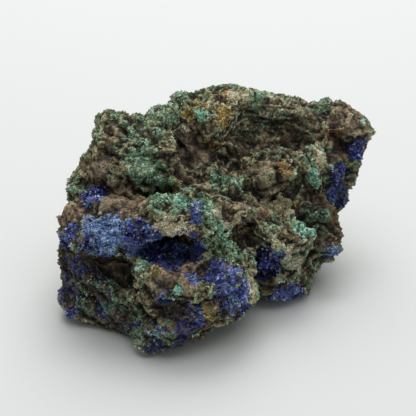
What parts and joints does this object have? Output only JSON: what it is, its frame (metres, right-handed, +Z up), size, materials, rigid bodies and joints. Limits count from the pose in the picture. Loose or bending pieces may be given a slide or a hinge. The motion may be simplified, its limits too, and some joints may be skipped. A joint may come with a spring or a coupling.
{
  "type": "azurite specimen",
  "caption": "Hand-sized block of brown gossan with malachite crusts and druses of deep blue azurite crystals in its vugs, resting on flat feet.",
  "frame": {"origin": "centre of the bounding box on the surface that the block rests on", "axes": "+X along the block towards its overhanging arm, +Y from its low front corner to its back, +Z up"},
  "size_m": [0.085, 0.065, 0.0483],
  "materials": {
    "gossan": "earthy, dull, with malachite crusts",
    "azurite": "glassy crystal faces",
    "malachite": "velvety to silky grains",
    "powder_blue_crust": "powdery crust",
    "ochre": "earthy"
  },
  "bodies": {
    "root": {"matrix": "gossan", "azurite_front_vug": "azurite", "azurite_shelf_corner": "azurite", "azurite_shelf_pocket": "azurite", "azurite_ridge_streak": "azurite", "azurite_lobe": "azurite", "azurite_right_vug": "azurite", "azurite_belly": "azurite", "azurite_right_edge": "azurite", "azurite_tip_edge": "azurite"}
  },
  "joints": []
}
